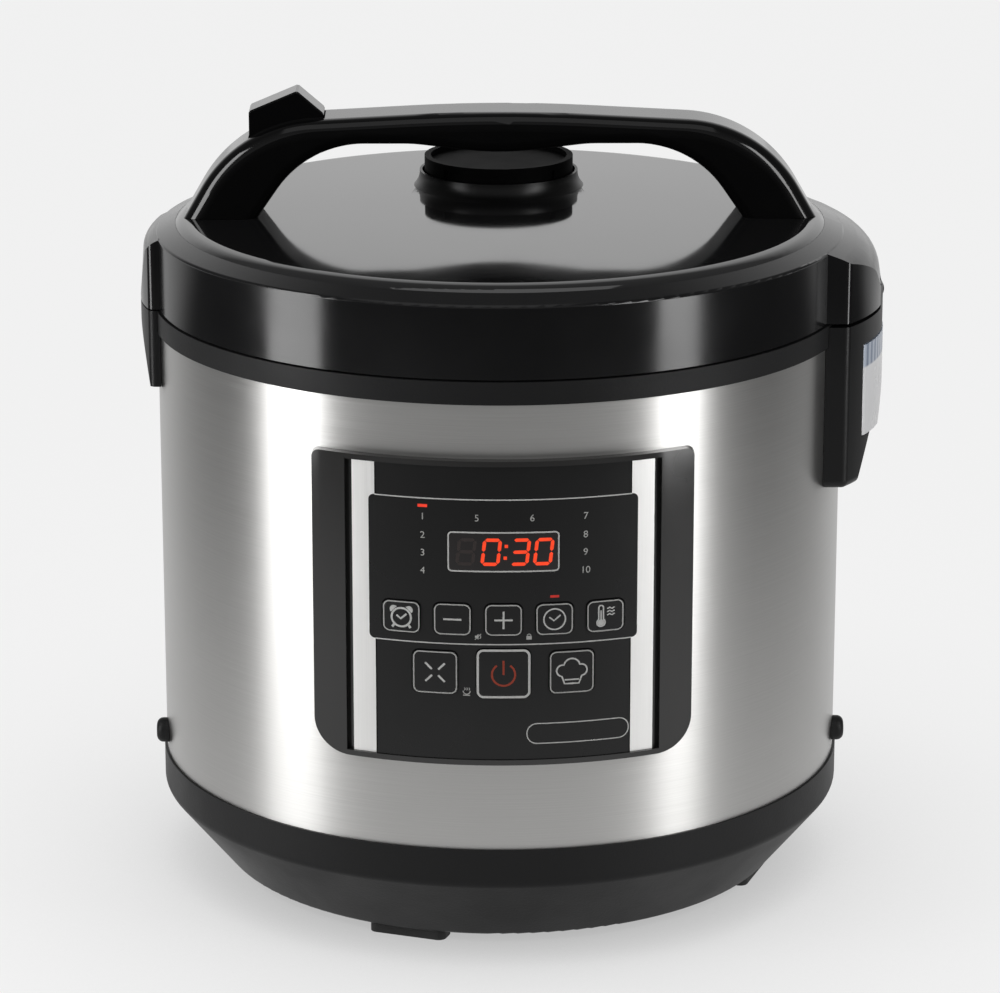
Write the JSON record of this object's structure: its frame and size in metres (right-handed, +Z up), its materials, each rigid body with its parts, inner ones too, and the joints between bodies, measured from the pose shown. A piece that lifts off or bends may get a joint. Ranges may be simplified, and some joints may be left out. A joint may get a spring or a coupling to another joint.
{
  "type": "multicooker",
  "caption": "Round countertop multicooker with a brushed steel body, hinged domed lid with carrying handle, push latch, steam valve, front key panel and a pull-out condensate cup.",
  "frame": {"origin": "on the cooker's vertical axis, in the plane of the foot soles", "axes": "+Z up, the control panel faces -Y, the lid hinge is at +X and the latch at -X"},
  "size_m": [0.2844, 0.2679, 0.3041],
  "materials": {
    "black_matte": "fine-grained black moulding",
    "black_satin": "satin black moulding",
    "black_gloss": "polished black",
    "panel_black": "smooth black film",
    "key_black": "semi-gloss black",
    "brushed_steel": "brushed round the body",
    "bright_trim": "bright satin metal",
    "display_glass": "dark tinted window",
    "clear_plastic": "clear, slightly frosted",
    "rubber_black": "matt",
    "silicone": "translucent white, matt",
    "cast_aluminium": "as cast and turned",
    "coated_pot": "dark non-stick coating",
    "sheet_steel": "zinc-coated sheet",
    "plated_steel": "bright plated",
    "circuit_board": "green lacquered board",
    "switch_black": "matt",
    "brass": "plain"
  },
  "bodies": {
    "body": {"base_shell": "black_matte", "feet": "rubber_black", "tie_bolts": "plated_steel", "outer_shell": "brushed_steel", "top_ring": "black_matte", "hinge_housing": "black_satin", "hinge_pin": "plated_steel", "latch_housing": "black_satin", "latch_catch": "sheet_steel", "side_caps": "black_matte", "heat_shield": "sheet_steel", "heating_plate": "cast_aluminium", "heating_element": "plated_steel", "sensor_spring": "plated_steel", "inner_pot": "coated_pot", "panel_frame": "black_gloss", "panel_film": "panel_black", "trim_strips": "bright_trim", "display_window": "display_glass", "display_module": "black_matte", "control_board": "circuit_board", "tact_switches": "switch_black", "power_board": "circuit_board", "power_inlet": "black_matte", "inlet_pins": "brass"},
    "lid": {"lid_rim": "black_satin", "lid_top": "black_gloss", "lid_liner": "black_matte", "inner_lid": "cast_aluminium", "lid_gasket": "silicone", "handle_arch": "black_satin", "handle_cover": "black_gloss", "handle_screws": "plated_steel", "valve_seat": "black_matte", "latch_pin": "plated_steel", "button_spring": "plated_steel"},
    "steam_valve": {"steam_valve_cap": "black_gloss", "steam_valve_base": "black_satin"},
    "release": {"release_button": "black_gloss", "push_link": "black_satin"},
    "hook": {"latch_hook": "sheet_steel"},
    "cup": {"condensate_cup": "clear_plastic"},
    "sensor": {"temperature_sensor": "cast_aluminium"},
    "button_delay": {"key_delay": "key_black"},
    "button_minus": {"key_minus": "key_black"},
    "button_plus": {"key_plus": "key_black"},
    "button_time": {"key_time": "key_black"},
    "button_temperature": {"key_temperature": "key_black"},
    "button_cancel": {"key_cancel": "key_black"},
    "button_start": {"key_start": "key_black"},
    "button_menu": {"key_menu": "key_black"}
  },
  "joints": [
    {"name": "lid_hinge", "type": "hinge", "parent": "body", "child": "lid", "pos_m": [0.1415, 0, 0.228], "axis": [0, 1, 0], "range_deg": [0, 85]},
    {"name": "valve_turn", "type": "hinge", "parent": "lid", "child": "steam_valve", "pos_m": [0, 0.046, 0.262], "axis": [0, 0, 1], "range_deg": [0, 40]},
    {"name": "button_press", "type": "slide", "parent": "lid", "child": "release", "axis": [0, 0, -1], "range_m": [0, 0.0025], "stiffness_N_per_m": 800, "springref_m": -0.003, "deforming": ["button_spring"]},
    {"name": "latch_swing", "type": "hinge", "parent": "lid", "child": "hook", "pos_m": [-0.122, 0, 0.236], "axis": [0, 1, 0], "range_deg": [0, 8.1]},
    {"name": "cup_slide", "type": "slide", "parent": "body", "child": "cup", "axis": [1, 0, 0], "range_m": [0, 0.014]},
    {"name": "sensor_press", "type": "slide", "parent": "body", "child": "sensor", "axis": [0, 0, -1], "range_m": [0, 0.003], "stiffness_N_per_m": 500, "springref_m": -0.004, "deforming": ["sensor_spring"]},
    {"name": "press_delay", "type": "slide", "parent": "body", "child": "button_delay", "axis": [0, 1, 0], "range_m": [0, 0.0008], "stiffness_N_per_m": 2000, "springref_m": -0.0005},
    {"name": "press_minus", "type": "slide", "parent": "body", "child": "button_minus", "axis": [0, 1, 0], "range_m": [0, 0.0008], "stiffness_N_per_m": 2000, "springref_m": -0.0005},
    {"name": "press_plus", "type": "slide", "parent": "body", "child": "button_plus", "axis": [0, 1, 0], "range_m": [0, 0.0008], "stiffness_N_per_m": 2000, "springref_m": -0.0005},
    {"name": "press_time", "type": "slide", "parent": "body", "child": "button_time", "axis": [0, 1, 0], "range_m": [0, 0.0008], "stiffness_N_per_m": 2000, "springref_m": -0.0005},
    {"name": "press_temperature", "type": "slide", "parent": "body", "child": "button_temperature", "axis": [0, 1, 0], "range_m": [0, 0.0008], "stiffness_N_per_m": 2000, "springref_m": -0.0005},
    {"name": "press_cancel", "type": "slide", "parent": "body", "child": "button_cancel", "axis": [0, 1, 0], "range_m": [0, 0.0008], "stiffness_N_per_m": 2000, "springref_m": -0.0005},
    {"name": "press_start", "type": "slide", "parent": "body", "child": "button_start", "axis": [0, 1, 0], "range_m": [0, 0.0008], "stiffness_N_per_m": 2000, "springref_m": -0.0005},
    {"name": "press_menu", "type": "slide", "parent": "body", "child": "button_menu", "axis": [0, 1, 0], "range_m": [0, 0.0008], "stiffness_N_per_m": 2000, "springref_m": -0.0005}
  ],
  "couplings": [
    {"joint": "latch_swing", "follows": "button_press", "rad_per_m": 56}
  ]
}
